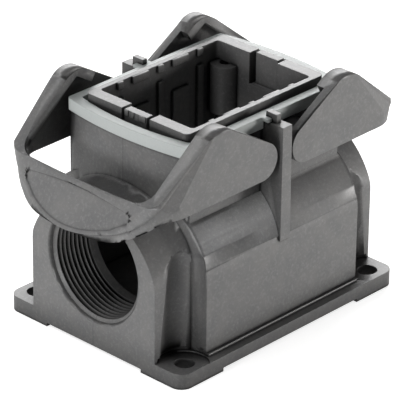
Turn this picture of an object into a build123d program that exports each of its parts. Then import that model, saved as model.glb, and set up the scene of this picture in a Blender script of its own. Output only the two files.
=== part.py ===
"""Surface-mounting housing of a heavy duty rectangular connector, in millimetres.

+X runs along the length and the threaded cable entry faces -X. The origin is
the middle of the base, and both locking levers stand open.
"""
import os
from math import cos, radians, sin, tan

from build123d import *

os.makedirs("parts", exist_ok=True)

# Mounting flange
flange_length = 83.0
flange_width = 64.0
flange_thickness = 4.4
flange_corner = 3.5
foot_length = 15.5  # the four corner pads that the housing stands on
foot_width = 14.7
foot_height = 1.0
hole_edge_x = 6.0  # centre of each mounting hole to the flange's edges
hole_edge_y = 4.8
hole_diameter = 5.5
spotface_diameter = 14.0
spotface_height = 1.2
cove_foot_radius = 6.5  # screwdriver room above each mounting hole
cove_top_radius = 5.0
cove_top = 30.5  # where its domed top starts
cove_lean_x = 2.1  # the room leans in towards the middle as it rises
cove_lean_y = 1.3

# Wall, shoulders and tunnels
wall_length = 58.0
wall_width = 57.2
wall_straight_top = 24.0
shoulder_side = 26.9  # a point half way up the shoulder's curve
shoulder_rise = 32.8
neck_foot = 39.6  # where the shoulder meets the neck
roof_crown = 45.8
plinth_reach = 0.9  # low step along the foot of each long side
plinth_height = 0.8
tunnel_width = 44.6
tunnel_side_top = 26.5
tunnel_crown = 42.6
tunnel_flare = 1.0  # how much wider each side is where it meets the wall
tunnel_rear_side_top = 33.0
tunnel_round = 9.0

# Neck, seal and collar
seal_length = 57.4
seal_width = 44.0
seal_bow = 2.3  # how far the short sides curve out
seal_height = 3.3
seal_top = 60.9
seal_band = 2.6
seal_foot_height = 1.0
seal_corner = 1.2
seal_clearance = 0.1
ear_width = 4.6
ear_reach = 24.2
ear_thickness = 0.9
neck_inset = 0.5  # how far the seal overhangs the neck
collar_gap_end = 0.2  # between the collar and the seal's upright band
collar_gap_side = 1.2
collar_height = 1.7  # above the seal
collar_corner = 1.6
collar_end_wall = 3.7
collar_side_wall = 1.6
well_corner = 1.0
guide_depth = 0.8  # upright ribs on the long inner walls
guide_narrow = 2.0
guide_narrow_top = 57.8
guide_narrow_pitch = 15.0
guide_wide = 6.0
guide_wide_top = 53.5
guide_wide_pitch = 15.0
tab_width = 7.8  # snap tab in the middle of each short side
tab_slot = 1.1
tab_thickness = 2.3
tab_slot_depth = 9.0

# Inside
floor_height = 4.2
wall_thickness = 3.2
insert_screw_x = 44.0  # fixing pattern of the contact insert
insert_screw_y = 27.0
insert_boss_radius = 4.2
insert_boss_top = 57.2
insert_boss_height = 14.0
insert_screw_diameter = 3.3
insert_screw_depth = 9.0

# Cable entry
entry_diameter = 32.0
entry_height = 24.5
entry_chamfer = 0.6
entry_thread_length = 13.0
throat_diameter = 29.4

# Central ribs, with the tabs that hold the seal, and the lever pegs
rib_width_foot = 3.7
rib_width_top = 3.4
rib_reach = 28.9
rib_foot = 27.5
rib_top = 59.9
rib_tab_width = 1.6
rib_tab_reach = 25.8
rib_tab_top = 62.3
peg_diameter = 6.0
pivot_x = 8.2
pivot_height = 52.2

# Locking levers; heights are above the pivot
lever_width = 57.0
lever_wall = 2.8
lever_flange = 5.4  # width of the front strips
lobe_radius = 5.3
open_angle = 31.2  # slope of the cheek's top edge, open
front_angle = 38.6  # slope of the front strips, open
front_skin = 2.4
apex_x = 24.2
apex_round = 7.5
flange_end = 5.5  # where the front strip ends past the apex
nose_reach = 52.5
nose_bow = 10.2
nose_corner = 17.0
lip_drop = 12.8  # bottom of the grip, below the pivot
grip_overhang = 6.2  # the grip's top stands this much further in than its bottom
grip_height = 11.3
brow_bow = 1.0
brow_corner = 7.0
brow_round = 9.0
brow_overshoot = 0.15
lip_flat = 3.1  # level part of the lower edge
lip_angle = 48.3
lip_round = 4.0
grip_skin = 2.6
window_edge = 0.4  # left between the window and the top of the grip
window_bow = 0.6
window_corner = 5.0
bevel_apex = (26.0, 0.0, 14.4)  # along X, in from the cheek, above the pivot: the cheeks
bevel_nose = (42.0, 2.0, 1.1)  # are cut by a leaning plane through these three points
bevel_foot = (34.0, 0.0, 4.6)
plate_step = 0.3  # how far the front plate stands above the cheeks and the lower rim
plate_inset = 2.1  # outer edge of the plate, in from the cheek at the corner
plate_corner_drop = 0.4
plate_rise = 0.1  # lower edge of the plate, above the lip at the middle
plate_bow = 1.4
plate_bow_half = 11.5
plate_swell = 1.4
dish_depth = 0.35  # crescent-shaped hollow in the grip's face
dish_half = 21.0
dish_rise = 0.95  # its lowest point above the lip
dish_end_rise = 7.9
dish_top_rise = 10.1
dish_side = (14.0, 3.3)  # a point on its lower edge
dish_round = 1.5
boss_clearance = 0.8  # so the lever passes the seal as well as the neck
peg_clearance = 0.05
peg_end_clearance = 0.3
peg_cover = 1.2  # left between the blind bearing and the cheek's face
stop_length = 6.0
stop_height = 2.6
stop_x = 18.0
stop_clearance = 0.3
stop_overlap = 1.5

# Worked out
hole_spacing_x = flange_length - 2 * hole_edge_x
hole_spacing_y = flange_width - 2 * hole_edge_y
half_wall = wall_width / 2
seal_bottom = seal_top - seal_height
collar_length = seal_length - 2 * (seal_band + collar_gap_end)
collar_width = seal_width - 2 * (seal_band + collar_gap_side)
collar_top = seal_top + collar_height
well_length = collar_length - 2 * collar_end_wall
well_width = collar_width - 2 * collar_side_wall
neck_half = seal_width / 2 - neck_inset
lever_side = lever_width / 2
lever_inner = lever_side - lever_wall
boss_face = neck_half + boss_clearance
bearing_depth = lever_side - peg_cover - boss_face
peg_end = boss_face + bearing_depth - peg_end_clearance
cheek_bottom = pivot_height - lobe_radius
lip_height = pivot_height - lip_drop
brow_height = lip_height + grip_height
brow_reach = nose_reach - grip_overhang
grip_lean = grip_overhang / grip_height
throw = 1000.0  # longer than anything here, for cuts that go right through


def bowed_face(half_length, half_width, bow, corner=0):
    """Flat face with straight long sides and bowed short sides."""
    with BuildSketch() as face:
        with BuildLine():
            near = Line((-half_length, -half_width), (half_length, -half_width))
            ThreePointArc(near @ 1, (half_length + bow, 0), (half_length, half_width))
            far = Line((half_length, half_width), (-half_length, half_width))
            ThreePointArc(far @ 1, (-half_length - bow, 0), near @ 0)
        make_face()
        if corner:
            fillet(face.vertices(), corner)
    return face.sketch


def nose_face(reach, bow, half_width, corner):
    """Plan of a lever at one height: straight sides and a bowed nose."""
    with BuildSketch() as face:
        with BuildLine():
            side = Line((-pivot_x, -half_width), (reach - bow, -half_width))
            nose = ThreePointArc(side @ 1, (reach, 0), (reach - bow, half_width))
            Polyline(nose @ 1, (-pivot_x, half_width), side @ 0)
        make_face()
        fillet(face.vertices().group_by(Axis.X)[-1], corner)
    return face.sketch


# Housing: flange, wall, tunnels, neck and collar are one moulding
with BuildPart() as housing:
    with BuildSketch(Plane.XY):
        RectangleRounded(flange_length, flange_width, flange_corner)
    extrude(amount=flange_thickness)
    with BuildSketch(Plane.XY):
        Rectangle(flange_length - 2 * foot_length, flange_width)
        Rectangle(flange_length, flange_width - 2 * foot_width)
    extrude(amount=foot_height, mode=Mode.SUBTRACT)

    # wall with its curved shoulders and domed roof
    with BuildSketch(Plane.YZ):
        with BuildLine():
            right = Polyline((0, foot_height), (half_wall, foot_height), (half_wall, wall_straight_top))
            shoulder = ThreePointArc(right @ 1, (shoulder_side, shoulder_rise), (neck_half, neck_foot))
            roof = ThreePointArc(shoulder @ 1, (0, roof_crown), (-neck_half, neck_foot))
            left = ThreePointArc(roof @ 1, (-shoulder_side, shoulder_rise), (-half_wall, wall_straight_top))
            Polyline(left @ 1, (-half_wall, foot_height), (0, foot_height))
        make_face()
    extrude(amount=wall_length / 2, both=True)

    # low step along the foot of each long side
    with BuildSketch(Plane.XY.offset(foot_height)):
        Rectangle(wall_length, wall_width + 2 * plinth_reach)
    extrude(amount=flange_thickness + plinth_height - foot_height)

    # tunnels at both ends, narrower and lower at their faces
    for end in (-1, 1):
        for x, side, side_top, crown in (
            (flange_length / 2, tunnel_width / 2, tunnel_side_top, tunnel_crown),
            (wall_length / 2 - 1, tunnel_width / 2 + tunnel_flare, tunnel_rear_side_top, roof_crown),
        ):
            with BuildSketch(Plane.YZ.offset(end * x)) as section:
                with BuildLine():
                    arch = ThreePointArc((side, side_top), (0, crown), (-side, side_top))
                    Polyline(arch @ 1, (-side, foot_height), (side, foot_height), arch @ 0)
                make_face()
                fillet(section.vertices().group_by(Axis.Y)[-1], tunnel_round)
        loft(ruled=True)

    # neck up to the seal's seat, and the collar that stands inside the seal
    with BuildSketch(Plane.XY.offset(neck_foot - wall_thickness)):
        add(bowed_face(seal_length / 2 - neck_inset, neck_half, seal_bow))
    extrude(amount=seal_bottom - neck_foot + wall_thickness)
    with BuildSketch(Plane.XY.offset(neck_foot)):
        RectangleRounded(collar_length, collar_width, collar_corner)
    extrude(amount=collar_top - neck_foot)

    # screwdriver room above each mounting hole, with a domed top
    room_height = cove_top - flange_thickness
    for along in (-1, 1):
        for across in (-1, 1):
            foot = (along * hole_spacing_x / 2, across * hole_spacing_y / 2, flange_thickness)
            lean = (-along * cove_lean_x, -across * cove_lean_y, room_height)
            with Locations(Plane(origin=foot, z_dir=lean)):
                Cone(cove_foot_radius, cove_top_radius, room_height, mode=Mode.SUBTRACT,
                     align=(Align.CENTER, Align.CENTER, Align.MIN))
            with Locations((foot[0] + lean[0], foot[1] + lean[1], cove_top)):
                Sphere(cove_top_radius, mode=Mode.SUBTRACT)

    # mounting holes, each in the middle of a spotface
    with BuildSketch(Plane.XY.offset(flange_thickness)):
        with GridLocations(hole_spacing_x, hole_spacing_y, 2, 2):
            Circle(spotface_diameter / 2)
    extrude(amount=spotface_height, mode=Mode.SUBTRACT)
    with BuildSketch(Plane.XY):
        with GridLocations(hole_spacing_x, hole_spacing_y, 2, 2):
            Circle(hole_diameter / 2)
    extrude(amount=flange_thickness, mode=Mode.SUBTRACT)

    # central rib on each long side, with the tab that holds the seal's ear
    with BuildSketch(Plane.XZ):
        with BuildLine():
            Polyline((-rib_width_foot / 2, rib_foot), (rib_width_foot / 2, rib_foot),
                     (rib_width_top / 2, rib_top), (-rib_width_top / 2, rib_top), close=True)
        make_face()
    extrude(amount=rib_reach, both=True)
    with BuildSketch(Plane.XY.offset(rib_top)):
        Rectangle(rib_tab_width, 2 * rib_tab_reach)
    extrude(amount=rib_tab_top - rib_top)

    # gap that the seal sits in, cleared of the ribs
    with BuildSketch(Plane.XY.offset(seal_bottom)):
        add(bowed_face(seal_length / 2, seal_width / 2 + seal_clearance, seal_bow))
        RectangleRounded(collar_length, collar_width, collar_corner, mode=Mode.SUBTRACT)
    extrude(amount=throw, mode=Mode.SUBTRACT)

    # well for the contact insert, and the wiring chamber under it
    with BuildSketch(Plane.XY.offset(collar_top)):
        RectangleRounded(well_length, well_width, well_corner)
    extrude(amount=neck_foot - wall_thickness - collar_top, mode=Mode.SUBTRACT)
    with BuildSketch(Plane.YZ):
        chamber_half = half_wall - wall_thickness
        chamber_side = shoulder_side - wall_thickness * cos(radians(30))
        chamber_rise = shoulder_rise - wall_thickness * sin(radians(30))
        chamber_top = neck_foot - wall_thickness
        chamber_neck = neck_half - wall_thickness
        with BuildLine():
            near = Polyline((0, floor_height), (chamber_half, floor_height),
                            (chamber_half, wall_straight_top))
            curve = ThreePointArc(near @ 1, (chamber_side, chamber_rise), (chamber_neck, chamber_top))
            over = Line(curve @ 1, (-chamber_neck, chamber_top))
            back = ThreePointArc(over @ 1, (-chamber_side, chamber_rise), (-chamber_half, wall_straight_top))
            Polyline(back @ 1, (-chamber_half, floor_height), (0, floor_height))
        make_face()
    extrude(amount=wall_length / 2 - wall_thickness, both=True, mode=Mode.SUBTRACT)

    # upright ribs on the long inner walls, narrow ones taller than wide ones
    guide_centre = well_width - guide_depth
    with BuildSketch(Plane.XY.offset(guide_narrow_top)):
        with GridLocations(guide_narrow_pitch, guide_centre, 3, 2):
            Rectangle(guide_narrow, guide_depth)
    extrude(amount=neck_foot - guide_narrow_top)
    with BuildSketch(Plane.XY.offset(guide_wide_top)):
        with GridLocations(guide_wide_pitch, guide_centre, 2, 2):
            Rectangle(guide_wide, guide_depth)
    extrude(amount=neck_foot - guide_wide_top)

    # threaded entry, with a narrower throat behind it
    with BuildSketch(Plane.YZ.offset(-flange_length / 2)):
        with Locations((0, entry_height)):
            Circle(entry_diameter / 2)
    extrude(amount=entry_thread_length, mode=Mode.SUBTRACT)
    with BuildSketch(Plane.YZ.offset(-flange_length / 2)):
        with Locations((0, entry_height)):
            Circle(throat_diameter / 2)
    extrude(amount=(flange_length - wall_length) / 2 + 2 * wall_thickness, mode=Mode.SUBTRACT)
    rim = housing.edges().filter_by(GeomType.CIRCLE).group_by(Axis.X)[0]
    chamfer(rim.filter_by(lambda edge: abs(edge.radius - entry_diameter / 2) < 0.1), entry_chamfer)

    # snap tab between two slots on each short side
    with BuildSketch(Plane.XY.offset(collar_top)):
        with GridLocations(0, tab_width + tab_slot, 1, 2):
            Rectangle(collar_length + 1, tab_slot)
        Rectangle(collar_length - 2 * tab_thickness, tab_width)
    extrude(amount=-tab_slot_depth, mode=Mode.SUBTRACT)

    # corner bosses that take the insert's screws
    with BuildSketch(Plane.XY.offset(insert_boss_top)):
        with GridLocations(insert_screw_x, insert_screw_y, 2, 2):
            Circle(insert_boss_radius)
    extrude(amount=-insert_boss_height)
    with BuildSketch(Plane.XY.offset(insert_boss_top)):
        with GridLocations(insert_screw_x, insert_screw_y, 2, 2):
            Circle(insert_screw_diameter / 2)
    extrude(amount=-insert_screw_depth, mode=Mode.SUBTRACT)

    # pegs that the levers turn on, and the stops that they rest on when open
    for side in (-1, 1):
        with BuildSketch(Plane.XZ.offset(side * (neck_half - 1))):
            with Locations((-pivot_x, pivot_height), (pivot_x, pivot_height)):
                Circle(peg_diameter / 2)
        extrude(amount=side * (peg_end - neck_half + 1))
        with BuildSketch(Plane.XZ.offset(side * (neck_half - 1))):
            for hand in (-1, 1):
                with Locations((hand * stop_x, cheek_bottom - stop_clearance - stop_height / 2)):
                    Rectangle(stop_length, stop_height)
        extrude(amount=side * (1 + boss_clearance + stop_overlap))
housing.part.label = "housing"
export_step(housing.part, "parts/housing.step")


# Hood seal: a light rubber ring whose inner foot lies round the collar
with BuildPart() as hood_seal:
    with BuildSketch(Plane.XY.offset(seal_bottom)):
        add(bowed_face(seal_length / 2, seal_width / 2, seal_bow, seal_corner))
        add(bowed_face(seal_length / 2 - seal_band, seal_width / 2 - seal_band, seal_bow, seal_corner),
            mode=Mode.SUBTRACT)
    extrude(amount=seal_height)
    with BuildSketch(Plane.XY.offset(seal_bottom)):
        add(bowed_face(seal_length / 2 - 1, seal_width / 2 - 1, seal_bow, seal_corner))
        RectangleRounded(collar_length + 2 * seal_clearance, collar_width + 2 * seal_clearance,
                         collar_corner, mode=Mode.SUBTRACT)
    extrude(amount=seal_foot_height)
    with BuildSketch(Plane.XY.offset(seal_top - ear_thickness)):
        Rectangle(ear_width, 2 * ear_reach)
        Rectangle(throw, seal_width - 2, mode=Mode.SUBTRACT)
        Rectangle(rib_tab_width + 2 * seal_clearance, throw, mode=Mode.SUBTRACT)
    extrude(amount=ear_thickness)
hood_seal.part.label = "hood_seal"
export_step(hood_seal.part, "parts/hood_seal.step")


# Rear lever: two cheeks, front strips round a window, and a curved grip
slope = tan(radians(open_angle))
front_slope = tan(radians(front_angle))
tangent = (pivot_x - lobe_radius * sin(radians(open_angle)),
           pivot_height + lobe_radius * cos(radians(open_angle)))
apex = (apex_x, tangent[1] + (apex_x - tangent[0]) * slope)
front_plane = Plane(origin=(apex[0], 0, apex[1]), x_dir=(1, 0, -front_slope), z_dir=(front_slope, 0, 1))


def brow_point(drop, inset):
    """Corner where the front line meets the grip's line, both moved inwards."""
    height = apex[1] - drop - (nose_reach - inset - apex_x) * front_slope
    run = (height - lip_height) * (grip_lean * front_slope) / (1 - grip_lean * front_slope)
    height += run
    return (nose_reach - inset - grip_lean * (height - lip_height), height)


def lever_block(side, nose):
    """Block with the lever's plan, its sides and its nose moved inwards."""
    with BuildPart() as block:
        low = nose_face(nose_reach - nose, nose_bow, lever_side - side, nose_corner - nose)
        high = nose_face(brow_reach - nose, brow_bow, lever_side - side, brow_corner - nose)
        with BuildSketch(Plane.XY.offset(lip_height)):
            add(low)
        with BuildSketch(Plane.XY.offset(brow_height)):
            add(high)
        loft(ruled=True)
        with BuildSketch(Plane.XY.offset(brow_height)):
            add(high)
        extrude(amount=apex[1])
        with BuildSketch(Plane.XY.offset(lip_height)):
            add(low)
        extrude(amount=-lip_height)
        for across in (-1, 1):
            corners = [Vector(x, across * (lever_side - side - inset), pivot_height + z)
                       for x, inset, z in (bevel_apex, bevel_nose, bevel_foot)]
            outward = (corners[1] - corners[0]).cross(corners[2] - corners[0]) * across
            with BuildSketch(Plane(origin=corners[0], z_dir=outward)):
                Rectangle(4 * nose_reach, 4 * nose_reach)
            extrude(amount=nose_reach, mode=Mode.SUBTRACT)
    return block.part


def lever_outline(drop, nose):
    """Side view of the lever, its front and its grip moved inwards."""
    with BuildSketch() as profile:
        with BuildLine():
            brow = brow_point(drop, nose - brow_overshoot)
            lip_end = (nose_reach - lip_flat, lip_height)
            lip_top = (lip_end[0] - (cheek_bottom - lip_height) / tan(radians(lip_angle)), cheek_bottom)
            lobe = ThreePointArc((pivot_x, cheek_bottom), (pivot_x - lobe_radius, pivot_height), tangent)
            Polyline(lobe @ 1, (apex[0], apex[1] - drop), brow,
                     (nose_reach - nose + brow_overshoot, lip_height), lip_end, lip_top, lobe @ 0)
        make_face()
        fillet(profile.vertices().sort_by_distance((apex[0], apex[1] - drop))[0], apex_round - drop)
        fillet(profile.vertices().sort_by_distance(brow)[0], brow_round - nose)
        fillet(profile.vertices().sort_by_distance(lip_end)[0], lip_round)
        fillet(profile.vertices().sort_by_distance(lip_top)[0], lip_round)
    return profile.sketch


# space inside the lever, open towards the housing
with BuildPart() as hollow:
    add(lever_block(lever_wall, grip_skin))
    with BuildSketch(Plane.XZ) as inside:
        with BuildLine():
            skin_drop = front_skin / cos(radians(front_angle))
            brow = brow_point(skin_drop, grip_skin)
            strip_end = (apex[0] - flange_end, apex[1] - flange_end * slope - skin_drop)
            Polyline((-pivot_x, 0), (nose_reach, 0), (nose_reach, lip_height),
                     (nose_reach - grip_skin, lip_height), brow, (apex[0], apex[1] - skin_drop), strip_end,
                     (strip_end[0] - 10 * slope, strip_end[1] + 10), (-pivot_x, strip_end[1] + 10),
                     close=True)
        make_face()
        fillet(inside.vertices().sort_by_distance(brow)[0], brow_round - grip_skin)
    extrude(amount=lever_side, both=True, mode=Mode.INTERSECT)

# front plate: strips, brow and grip, standing a little above the cheeks and the rim
with BuildPart() as plate:
    add(lever_block(0, 0))
    with BuildSketch(Plane.XZ):
        add(lever_outline(0, 0))
    extrude(amount=lever_side, both=True, mode=Mode.INTERSECT)
    with BuildSketch(Plane.YZ):
        with BuildLine():
            low = lip_height + plate_rise
            corner = (lever_side - plate_inset, brow_height + plate_corner_drop)
            bend = (plate_bow_half, low + plate_bow)
            middle = ((bend[0] + corner[0]) / 2 + plate_swell, (bend[1] + corner[1]) / 2 - plate_swell)
            arc = ThreePointArc((-bend[0], bend[1]), (0, low), bend)
            right = ThreePointArc(arc @ 1, middle, corner)
            over = Polyline(right @ 1, (lever_side, apex[1]), (-lever_side, apex[1]),
                            (-corner[0], corner[1]))
            ThreePointArc(over @ 1, (-middle[0], middle[1]), arc @ 0)
        make_face()
    extrude(amount=2 * nose_reach, mode=Mode.INTERSECT)

# crescent-shaped hollow for the fingertips, in the grip's face
with BuildPart() as dish:
    with BuildSketch(Plane.YZ) as crescent:
        with BuildLine():
            tip = (dish_half, lip_height + dish_end_rise)
            low_side = (dish_side[0], lip_height + dish_side[1])
            lower = ThreePointArc((-low_side[0], low_side[1]), (0, lip_height + dish_rise), low_side)
            right = Line(lower @ 1, tip)
            upper = ThreePointArc(tip, (0, lip_height + dish_top_rise), (-tip[0], tip[1]))
            Line(upper @ 1, lower @ 0)
        make_face()
        fillet(crescent.vertices().group_by(Axis.Y)[-1], dish_round)
    extrude(amount=2 * nose_reach)
    add(lever_block(dish_depth, dish_depth), mode=Mode.SUBTRACT)

with BuildPart() as rear_lever:
    add(lever_block(plate_step, plate_step))
    with BuildSketch(Plane.XZ):
        add(lever_outline(plate_step, plate_step))
    extrude(amount=lever_side, both=True, mode=Mode.INTERSECT)
    add(plate.part)
    add(dish.part, mode=Mode.SUBTRACT)
    add(hollow.part, mode=Mode.SUBTRACT)

    # window between the front strips, square to them
    with BuildSketch(front_plane) as opening:
        reach = (brow_reach - window_edge - apex_x) / cos(radians(front_angle))
        inner = lever_side - lever_flange
        with BuildLine():
            side = Line((-nose_reach, -inner), (reach - window_bow, -inner))
            edge = ThreePointArc(side @ 1, (reach, 0), (reach - window_bow, inner))
            Polyline(edge @ 1, (-nose_reach, inner), side @ 0)
        make_face()
        fillet(opening.vertices().group_by(Axis.X)[-1], window_corner)
    extrude(amount=nose_reach, both=True, mode=Mode.SUBTRACT)

    # bearing bosses with their blind bores, and the stops inside the cheeks
    for side in (-1, 1):
        with BuildSketch(Plane.XZ.offset(side * boss_face)):
            with Locations((pivot_x, pivot_height)):
                Circle(lobe_radius)
            with Locations((stop_x, cheek_bottom + stop_height / 2)):
                Rectangle(stop_length, stop_height)
        extrude(amount=side * (lever_inner - boss_face + 1))
        with BuildSketch(Plane.XZ.offset(side * boss_face)):
            with Locations((pivot_x, pivot_height)):
                Circle(peg_diameter / 2 + peg_clearance)
        extrude(amount=side * bearing_depth, mode=Mode.SUBTRACT)
rear_lever.part.label = "rear_lever"
export_step(rear_lever.part, "parts/rear_lever.step")


# Entry lever: the mirror image, over the cable entry
with BuildPart() as entry_lever:
    mirror(rear_lever.part, about=Plane.YZ)
entry_lever.part.label = "entry_lever"
export_step(entry_lever.part, "parts/entry_lever.step")
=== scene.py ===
import math

import bpy
from mathutils import Matrix, Vector


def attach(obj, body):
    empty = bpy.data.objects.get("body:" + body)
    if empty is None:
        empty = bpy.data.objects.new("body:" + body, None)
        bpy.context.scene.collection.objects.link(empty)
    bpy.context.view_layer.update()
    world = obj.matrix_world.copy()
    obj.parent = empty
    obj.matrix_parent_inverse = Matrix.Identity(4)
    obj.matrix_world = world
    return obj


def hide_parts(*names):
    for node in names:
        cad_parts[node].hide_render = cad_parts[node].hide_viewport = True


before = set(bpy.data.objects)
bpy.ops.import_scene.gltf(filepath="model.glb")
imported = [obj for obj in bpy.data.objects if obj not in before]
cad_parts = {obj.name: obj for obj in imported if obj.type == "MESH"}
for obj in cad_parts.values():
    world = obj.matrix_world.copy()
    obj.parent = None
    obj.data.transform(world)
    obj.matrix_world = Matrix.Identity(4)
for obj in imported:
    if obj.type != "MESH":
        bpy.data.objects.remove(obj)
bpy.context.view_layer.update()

print("frame loaded")

mmPerMetre = 1000
edgeSamples = 6   # rays that a bevel node takes to round a small edge


def linearFromHex(code):
    # sRGB hex to the linear colour that a socket takes
    channels = [int(code[i:i + 2], 16) / 255 for i in (1, 3, 5)]
    return [c / 12.92 if c <= 0.04045 else ((c + 0.055) / 1.055) ** 2.4 for c in channels] + [1.0]


def addNode(tree, kind, settings=None, links=None):
    # settings go to the node's own fields, or to sockets by name or number, and links are
    # {input: (node, output)}; a Mix node's data_type comes first, so that A and B are its colours
    node = tree.nodes.new(kind)
    for name, value in (settings or {}).items():
        if isinstance(name, str) and hasattr(node, name):
            setattr(node, name, value)
        else:
            node.inputs[name].default_value = value
    for name, (source, output) in (links or {}).items():
        tree.links.new(source.outputs[output], node.inputs[name])
    return node


def newMaterial(name):
    material = bpy.data.materials.new(name)
    material.use_nodes = True
    material.node_tree.nodes.clear()
    return material, material.node_tree


# Glass-filled polyamide, injection moulded: dark grey, with a fine grain from the
# mould that spreads the highlight, and a faint cloudiness where the fibres lie differently
polyamide = {
    "colour": "#727273",
    "cloudColour": "#7d7c7b",
    "fleckColour": "#8a8a89",
    "roughness": 0.40,
    "ior": 1.53,
    "sheenLevel": 0.55,   # specular level of an open face: a moulding's skin is a little resin-rich
    "grainSize": 0.45,    # mm, the sparked grain of the mould, drawn coarse enough to show
    "grainHeight": 0.012,   # mm
    "grainStrength": 0.35,
    "cloudSize": 7.0,     # mm, patches of fibre
    "cloudFrom": 0.35,    # between these two values of the noise one grey turns into the other
    "cloudTo": 0.68,
    "fleckSize": 0.9,     # mm, ends of glass fibre
    "fleckFrom": 0.50,
    "fleckTo": 0.70,
    "fleckStrength": 0.85,
    "hollowReach": 15.0,  # mm, how near the next wall is before a face counts as a hollow and gets painted shade
    "hollowFrom": 0.40,   # as open as this or less, a face has the full painted shade
    "hollowTo": 0.90,     # as open as this or more, it has none
    "hollowPaintedShade": 0.34,  # share of the colour that is left in the full painted shade
    "seamReach": 0.9,     # mm, the same for steps and joints
    "seamFrom": 0.55,
    "seamTo": 0.97,
    "shadeSamples": 8,
    "partingHalf": 0.10,  # mm, half the width of the mould's parting line
    "partingFrom": 28.0,  # mm from the middle, where the end faces start
    "partingFacing": 0.7,  # how squarely a face looks along X before it counts as an end face
    "partingColour": "#2a2a2a",
    "partingStrength": 0.45,
}


def fibreColour(tree, place):
    # two close greys in soft clouds, and a scatter of paler flecks
    clouds = addNode(tree, "ShaderNodeTexNoise",
                     {"Scale": mmPerMetre / polyamide["cloudSize"], "Detail": 5.0, "Roughness": 0.65},
                     {"Vector": (place, "Object")})
    cloudBand = addNode(tree, "ShaderNodeMapRange",
                        {"From Min": polyamide["cloudFrom"], "From Max": polyamide["cloudTo"]},
                        {"Value": (clouds, 0)})
    tint = addNode(tree, "ShaderNodeMix",
                   {"data_type": "RGBA", "A": linearFromHex(polyamide["colour"]),
                    "B": linearFromHex(polyamide["cloudColour"])},
                   {"Factor": (cloudBand, "Result")})
    flecks = addNode(tree, "ShaderNodeTexNoise",
                     {"Scale": mmPerMetre / polyamide["fleckSize"], "Detail": 3.0, "Roughness": 0.7},
                     {"Vector": (place, "Object")})
    fleckBand = addNode(tree, "ShaderNodeMapRange",
                        {"From Min": polyamide["fleckFrom"], "From Max": polyamide["fleckTo"],
                         "To Max": polyamide["fleckStrength"]},
                        {"Value": (flecks, 0)})
    return addNode(tree, "ShaderNodeMix",
                   {"data_type": "RGBA", "B": linearFromHex(polyamide["fleckColour"])},
                   {"Factor": (fleckBand, "Result"), "A": (tint, "Result")})


def partingMask(tree, place):
    # a hair line down the middle of both end faces, where the two halves of the mould met
    position = addNode(tree, "ShaderNodeSeparateXYZ", None, {0: (place, "Object")})
    shape = addNode(tree, "ShaderNodeNewGeometry")
    facing = addNode(tree, "ShaderNodeSeparateXYZ", None, {0: (shape, "Normal")})
    conditions = (
        (position, "Y", "LESS_THAN", polyamide["partingHalf"] / mmPerMetre),
        (position, "X", "GREATER_THAN", polyamide["partingFrom"] / mmPerMetre),
        (facing, "X", "GREATER_THAN", polyamide["partingFacing"]),
    )
    tests = []
    for source, axis, comparison, limit in conditions:
        unsigned = addNode(tree, "ShaderNodeMath", {"operation": "ABSOLUTE"}, {0: (source, axis)})
        tests.append(addNode(tree, "ShaderNodeMath", {"operation": comparison, 1: limit}, {0: (unsigned, 0)}))
    mask = addNode(tree, "ShaderNodeMath",
                   {"operation": "MULTIPLY", 1: polyamide["partingStrength"]}, {0: (tests[0], 0)})
    for test in tests[1:]:
        mask = addNode(tree, "ShaderNodeMath", {"operation": "MULTIPLY"}, {0: (mask, 0), 1: (test, 0)})
    return mask


def paintedShadeOf(tree, seamPaintedShade):
    # 1 on an open face and less in hollows and tight joints, where the colour is darkened as painted shade, a
    # look that was fitted to the photo
    bands = (
        ("hollowReach", "hollowFrom", "hollowTo", polyamide["hollowPaintedShade"]),
        ("seamReach", "seamFrom", "seamTo", seamPaintedShade),
    )
    shades = []
    for reach, low, high, shade in bands:
        occlusion = addNode(tree, "ShaderNodeAmbientOcclusion",
                            {"samples": polyamide["shadeSamples"], "Distance": polyamide[reach] / mmPerMetre})
        shades.append(addNode(tree, "ShaderNodeMapRange",
                              {"From Min": polyamide[low], "From Max": polyamide[high],
                               "To Min": shade, "To Max": 1.0},
                              {"Value": (occlusion, "AO")}))
    return addNode(tree, "ShaderNodeMath", {"operation": "MULTIPLY"},
                   {0: (shades[0], 0), 1: (shades[1], 0)})


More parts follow.
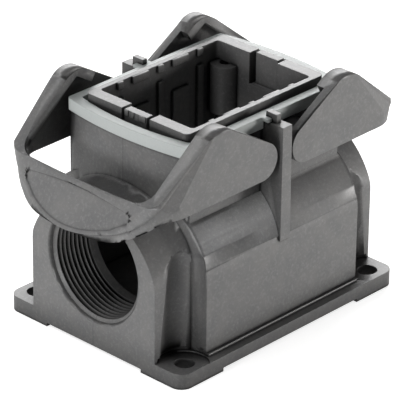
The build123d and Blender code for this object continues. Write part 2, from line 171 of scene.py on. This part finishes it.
def makePolyamide(name, parting, edgeRound, seamPaintedShade):
    # edgeRound is the radius of small edges in mm, and the last argument the share of colour that the painted
    # shade leaves in a tight joint
    material, tree = newMaterial(name)
    place = addNode(tree, "ShaderNodeTexCoord")
    colour = fibreColour(tree, place)
    grain = addNode(tree, "ShaderNodeTexNoise",
                    {"Scale": mmPerMetre / polyamide["grainSize"], "Detail": 2.0},
                    {"Vector": (place, "Object")})
    soft = addNode(tree, "ShaderNodeBevel", {"samples": edgeSamples, "Radius": edgeRound / mmPerMetre})
    bump = addNode(tree, "ShaderNodeBump",
                   {"Strength": polyamide["grainStrength"],
                    "Distance": polyamide["grainHeight"] / mmPerMetre},
                   {"Height": (grain, 0), "Normal": (soft, 0)})
    if parting:
        colour = addNode(tree, "ShaderNodeMix",
                         {"data_type": "RGBA", "B": linearFromHex(polyamide["partingColour"])},
                         {"Factor": (partingMask(tree, place), 0), "A": (colour, "Result")})
    paintedShadeFactor = paintedShadeOf(tree, seamPaintedShade)
    # painted shade: the colour is darkened in hollows and tight joints
    colour = addNode(tree, "ShaderNodeMix",
                     {"data_type": "RGBA", "A": (0.0, 0.0, 0.0, 1.0)},
                     {"Factor": (paintedShadeFactor, 0), "B": (colour, "Result")})
    # painted shade on the shine too: the specular level drops in hollows and tight joints
    paintedShadeGloss = addNode(tree, "ShaderNodeMath",
                    {"operation": "MULTIPLY", 1: polyamide["sheenLevel"]}, {0: (paintedShadeFactor, 0)})
    shader = addNode(tree, "ShaderNodeBsdfPrincipled",
                     {"Roughness": polyamide["roughness"], "IOR": polyamide["ior"]},
                     {"Base Color": (colour, "Result"), "Specular IOR Level": (paintedShadeGloss, 0),
                      "Normal": (bump, 0)})
    addNode(tree, "ShaderNodeOutputMaterial", None, {"Surface": (shader, 0)})
    return material


# Silicone rubber, moulded: light grey and matt, soft at every edge
silicone = {
    "colour": "#d0d5d3",
    "shadeColour": "#c7cccb",
    "roughness": 0.44,
    "ior": 1.41,
    "grainSize": 0.6,     # mm
    "grainHeight": 0.01,  # mm
    "grainStrength": 0.15,
    "edgeRound": 0.45,    # mm, radius of the edges
}


def makeSilicone():
    material, tree = newMaterial("siliconeRubber")
    place = addNode(tree, "ShaderNodeTexCoord")
    grain = addNode(tree, "ShaderNodeTexNoise",
                    {"Scale": mmPerMetre / silicone["grainSize"], "Detail": 2.0},
                    {"Vector": (place, "Object")})
    tint = addNode(tree, "ShaderNodeMix",
                   {"data_type": "RGBA", "A": linearFromHex(silicone["colour"]),
                    "B": linearFromHex(silicone["shadeColour"])},
                   {"Factor": (grain, 0)})
    soft = addNode(tree, "ShaderNodeBevel",
                   {"samples": edgeSamples, "Radius": silicone["edgeRound"] / mmPerMetre})
    bump = addNode(tree, "ShaderNodeBump",
                   {"Strength": silicone["grainStrength"], "Distance": silicone["grainHeight"] / mmPerMetre},
                   {"Height": (grain, 0), "Normal": (soft, 0)})
    shader = addNode(tree, "ShaderNodeBsdfPrincipled",
                     {"Roughness": silicone["roughness"], "IOR": silicone["ior"]},
                     {"Base Color": (tint, "Result"), "Normal": (bump, 0)})
    addNode(tree, "ShaderNodeOutputMaterial", None, {"Surface": (shader, 0)})
    return material


# The moulded pieces keep the CAD's shape, joined into one skin so that curves shade smoothly
moulding = {
    "mergeWithin": 0.00001,   # metres, points closer than this are one
    "flatWithin": 0.04,       # degrees, triangles of one flat face become that face again
}


def mouldFromNode(nodeName, bodyName, material, creaseAngle):
    # edges that bend by more than creaseAngle, in degrees, stay sharp
    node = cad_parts[nodeName]
    piece = node.copy()
    piece.data = node.data.copy()
    piece.name = nodeName + "Skin"
    piece.parent = None
    for key in list(piece.keys()):
        del piece[key]
    bpy.context.scene.collection.objects.link(piece)
    bpy.ops.object.select_all(action="DESELECT")
    piece.select_set(True)
    bpy.context.view_layer.objects.active = piece
    bpy.ops.object.mode_set(mode="EDIT")
    bpy.ops.mesh.select_all(action="SELECT")
    bpy.ops.mesh.remove_doubles(threshold=moulding["mergeWithin"])
    bpy.ops.mesh.dissolve_degenerate(threshold=moulding["mergeWithin"])
    bpy.ops.mesh.select_all(action="SELECT")
    bpy.ops.mesh.dissolve_limited(angle_limit=math.radians(moulding["flatWithin"]))
    bpy.ops.object.mode_set(mode="OBJECT")
    bpy.ops.object.shade_smooth_by_angle(angle=math.radians(creaseAngle))
    weighted = piece.modifiers.new("flatFacesFirst", "WEIGHTED_NORMAL")
    weighted.keep_sharp = True
    weighted.mode = "FACE_AREA"
    bpy.ops.object.modifier_apply(modifier=weighted.name)
    piece.data.materials.clear()
    piece.data.materials.append(material)
    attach(piece, bodyName)
    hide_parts(nodeName)
    piece.select_set(False)


# the last number of each is the share of colour that the painted shade leaves in a tight joint
housingPlastic = makePolyamide("glassFilledPolyamideHousing", parting=True, edgeRound=0.25, seamPaintedShade=0.25)
leverPlastic = makePolyamide("glassFilledPolyamideLever", parting=False, edgeRound=0.12, seamPaintedShade=0.55)
mouldFromNode("housing", "housing", housingPlastic, creaseAngle=28)
mouldFromNode("entry_lever", "entry_lever", leverPlastic, creaseAngle=62)
mouldFromNode("rear_lever", "rear_lever", leverPlastic, creaseAngle=62)
mouldFromNode("hood_seal", "housing", makeSilicone(), creaseAngle=30)
print("mouldings finished")


# Metric thread in the cable entry: one ridge wound along the bore, its root buried in the wall
thread = {
    "boreRadius": 0.016,
    "boreHeight": 0.0245,
    "start": -0.0406,      # x of the first turn
    "pitch": 0.0015,
    "turns": 8,
    "depth": 0.0009,
    "footShare": 0.46,     # of the pitch, half the ridge's width where it meets the wall
    "corners": 4,
    "stepsPerTurn": 96,
    "creaseAngle": 30,     # degrees
}


def makeThread():
    bpy.ops.object.select_all(action="DESELECT")
    bpy.ops.mesh.primitive_circle_add(vertices=thread["corners"], radius=1, fill_type="NOTHING",
                                      rotation=(math.radians(90), 0, 0))
    ridge = bpy.context.active_object
    ridge.name = "entryThread"
    bpy.ops.object.transform_apply(rotation=True)
    # the circle's four corners become a ridge: its foot along the wall, its crest towards the axis
    bpy.ops.object.mode_set(mode="EDIT")
    bpy.ops.mesh.select_all(action="SELECT")
    bpy.ops.transform.resize(value=(thread["pitch"] * thread["footShare"], 1, thread["depth"]))
    bpy.ops.transform.translate(value=(0, 0, thread["boreRadius"]))
    bpy.ops.object.mode_set(mode="OBJECT")
    wind = ridge.modifiers.new("wind", "SCREW")
    wind.axis = "X"
    wind.screw_offset = thread["pitch"]
    wind.iterations = thread["turns"]
    wind.steps = thread["stepsPerTurn"]
    wind.render_steps = thread["stepsPerTurn"]
    wind.use_merge_vertices = False
    bpy.ops.object.modifier_apply(modifier=wind.name)
    ridge.location = (thread["start"], 0, thread["boreHeight"])
    bpy.ops.object.transform_apply(location=True, rotation=True, scale=True)
    bpy.ops.object.mode_set(mode="EDIT")
    bpy.ops.mesh.select_all(action="DESELECT")
    bpy.ops.mesh.select_non_manifold()
    bpy.ops.mesh.fill_holes(sides=thread["corners"])
    bpy.ops.mesh.select_all(action="SELECT")
    bpy.ops.mesh.normals_make_consistent(inside=False)
    bpy.ops.object.mode_set(mode="OBJECT")
    bpy.ops.object.shade_smooth_by_angle(angle=math.radians(thread["creaseAngle"]))
    ridge.data.materials.append(housingPlastic)
    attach(ridge, "housing")
    ridge.select_set(False)


makeThread()
print("thread wound")


# Small pads under the collar's top edge, for the contact insert, and the upright ribs on the
# snap tabs, in mm: a pad is its middle along X and its length, a rib its middle along Y and its width
collarDetail = {
    "padDepth": 0.9,
    "padMiddleY": 16.35,
    "padHeight": 2.0,
    "padTop": 62.57,
    "pads": ((-15.0, 2.0), (-7.5, 6.0), (0.0, 2.0), (7.5, 6.0), (15.0, 2.0)),
    "tabFaceX": 25.9,
    "tabRibDepth": 0.5,
    "tabRibHeight": 1.55,
    "tabRibTop": 62.55,
    "tabRibs": ((3.15, 1.3), (0.9, 0.8), (-2.5, 2.2)),
    "edge": 0.12,
    "edgeSteps": 2,
    "creaseAngle": 50,   # degrees
}


def makeBlocks(name, blocks):
    # blocks are (middle, size) in mm
    bpy.ops.object.select_all(action="DESELECT")
    parts = []
    for middle, size in blocks:
        bpy.ops.mesh.primitive_cube_add(size=1, location=[c / mmPerMetre for c in middle],
                                        scale=[c / mmPerMetre for c in size])
        parts.append(bpy.context.active_object)
    for part in parts:
        part.select_set(True)
    bpy.context.view_layer.objects.active = parts[0]
    bpy.ops.object.join()
    piece = bpy.context.active_object
    piece.name = name
    bpy.ops.object.transform_apply(location=True, rotation=True, scale=True)
    soften = piece.modifiers.new("mouldedEdges", "BEVEL")
    soften.width = collarDetail["edge"] / mmPerMetre
    soften.segments = collarDetail["edgeSteps"]
    bpy.ops.object.modifier_apply(modifier=soften.name)
    bpy.ops.object.shade_smooth_by_angle(angle=math.radians(collarDetail["creaseAngle"]))
    piece.data.materials.clear()
    piece.data.materials.append(housingPlastic)
    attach(piece, "housing")
    piece.select_set(False)


def padBlocks():
    height = collarDetail["padHeight"]
    middleZ = collarDetail["padTop"] - height / 2
    return [((x, side * collarDetail["padMiddleY"], middleZ), (length, collarDetail["padDepth"], height))
            for side in (-1, 1) for x, length in collarDetail["pads"]]


def tabRibBlocks():
    # the two tabs are one shape, turned by half a turn
    height = collarDetail["tabRibHeight"]
    middleZ = collarDetail["tabRibTop"] - height / 2
    return [((side * collarDetail["tabFaceX"], -side * y, middleZ),
             (collarDetail["tabRibDepth"], width, height))
            for side in (-1, 1) for y, width in collarDetail["tabRibs"]]


makeBlocks("insertPads", padBlocks())
makeBlocks("snapTabRibs", tabRibBlocks())
print("collar details finished")


# Pale floor and background: white to the eye, with the shadow kept
studio = {
    "floorColour": "#e4e4e3",
    "floorSize": 6.0,       # metres
    "floorLift": 0.52,      # added for the camera only
    "floorGlow": 0.27,      # seen by every ray, so it fills the undersides a little
    "roomStrength": 0.04,
    "backdropStrength": 1.0,   # white, for camera and transmission rays only
}
white = (1, 1, 1, 1)


def makeFloor():
    bpy.ops.mesh.primitive_plane_add(size=studio["floorSize"], location=(0, 0, 0))
    floor = bpy.context.active_object
    floor.name = "studioFloor"
    material, tree = newMaterial("paintedFloor")
    paint = addNode(tree, "ShaderNodeBsdfDiffuse", {"Color": linearFromHex(studio["floorColour"])})
    glow = addNode(tree, "ShaderNodeEmission", {"Color": white, "Strength": studio["floorGlow"]})
    shader = addNode(tree, "ShaderNodeAddShader", None, {0: (paint, 0), 1: (glow, 0)})
    lift = addNode(tree, "ShaderNodeEmission", {"Color": white, "Strength": studio["floorLift"]})
    both = addNode(tree, "ShaderNodeAddShader", None, {0: (shader, 0), 1: (lift, 0)})
    rays = addNode(tree, "ShaderNodeLightPath")
    seen = addNode(tree, "ShaderNodeMixShader", None,
                   {0: (rays, "Is Camera Ray"), 1: (shader, 0), 2: (both, 0)})
    addNode(tree, "ShaderNodeOutputMaterial", None, {"Surface": (seen, 0)})
    floor.data.materials.append(material)


def makeRoom():
    world = bpy.data.worlds.new("studioRoom")
    bpy.context.scene.world = world
    world.use_nodes = True
    tree = world.node_tree
    tree.nodes.clear()
    rays = addNode(tree, "ShaderNodeLightPath")
    looked = addNode(tree, "ShaderNodeMath", {"operation": "MAXIMUM"},
                     {0: (rays, "Is Camera Ray"), 1: (rays, "Is Transmission Ray")})
    room = addNode(tree, "ShaderNodeBackground", {"Color": white, "Strength": studio["roomStrength"]})
    backdrop = addNode(tree, "ShaderNodeBackground", {"Color": white, "Strength": studio["backdropStrength"]})
    mix = addNode(tree, "ShaderNodeMixShader", None, {0: (looked, 0), 1: (room, 0), 2: (backdrop, 0)})
    addNode(tree, "ShaderNodeOutputWorld", None, {"Surface": (mix, 0)})


# place, what it points at, size in metres, strength in watts, colour
softboxes = {
    "backSoftbox": ((0.60, 0.57, 0.42), (0, 0, 0.045), 0.70, 6.4, "#ffffff"),
    "rearRightSoftbox": ((0.69, 0.40, 0.46), (0, 0, 0.035), 0.40, 1.2, "#ffffff"),
    "rearLeftSoftbox": ((0.14, 0.80, 0.43), (0, 0, 0.035), 0.45, 1.5, "#ffffff"),
    "leftSoftbox": ((-0.60, 0.54, 0.36), (0, 0, 0.030), 0.35, 0.7, "#ffffff"),
    "highSoftbox": ((-0.45, 0.10, 0.78), (-0.030, 0, 0.045), 0.25, 1.6, "#ffffff"),
    "entrySoftbox": ((-0.88, -0.12, 0.09), (0, 0, 0.020), 0.20, 2.9, "#ffffff"),
    "frontSoftbox": ((0.62, -0.63, 0.11), (0, 0, 0.030), 0.20, 4.0, "#fffdfb"),
}


def aimAt(place, target):
    return (Vector(target) - Vector(place)).to_track_quat("-Z", "Y").to_matrix().to_4x4()


def makeLamps():
    for name, (place, target, size, watts, colour) in softboxes.items():
        lamp = bpy.data.lights.new(name, "AREA")
        lamp.shape = "SQUARE"
        lamp.size = size
        lamp.energy = watts
        lamp.color = linearFromHex(colour)[:3]
        holder = bpy.data.objects.new(name, lamp)
        bpy.context.scene.collection.objects.link(holder)
        holder.matrix_world = Matrix.Translation(place) @ aimAt(place, target)


# The photograph's own view, fitted to the flange, bore, seal and levers
view = {
    "place": (-0.5597148, -0.5263840, 0.4187867),   # metres
    "turn": 46.675,   # degrees from +Y towards +X
    "down": 26.926,   # degrees below the level
    "roll": 0.656,    # degrees
    "lens": 293.3,    # mm
    "sensor": 36,     # mm
    "near": 0.01,     # metres, nothing nearer is drawn
    "far": 20,        # metres, nor anything farther
}


def makeCamera():
    camera = bpy.data.cameras.new("photoView")
    camera.lens = view["lens"]
    camera.sensor_width = view["sensor"]
    camera.clip_start = view["near"]
    camera.clip_end = view["far"]
    holder = bpy.data.objects.new("photoView", camera)
    bpy.context.scene.collection.objects.link(holder)
    holder.matrix_world = (Matrix.Translation(view["place"])
                           @ Matrix.Rotation(-math.radians(view["turn"]), 4, "Z")
                           @ Matrix.Rotation(math.radians(90 - view["down"]), 4, "X")
                           @ Matrix.Rotation(math.radians(view["roll"]), 4, "Z"))
    bpy.context.scene.camera = holder


bpy.ops.object.select_all(action="DESELECT")
makeFloor()
makeRoom()
makeLamps()
makeCamera()
bpy.context.scene.view_settings.view_transform = "Standard"
print("studio ready")
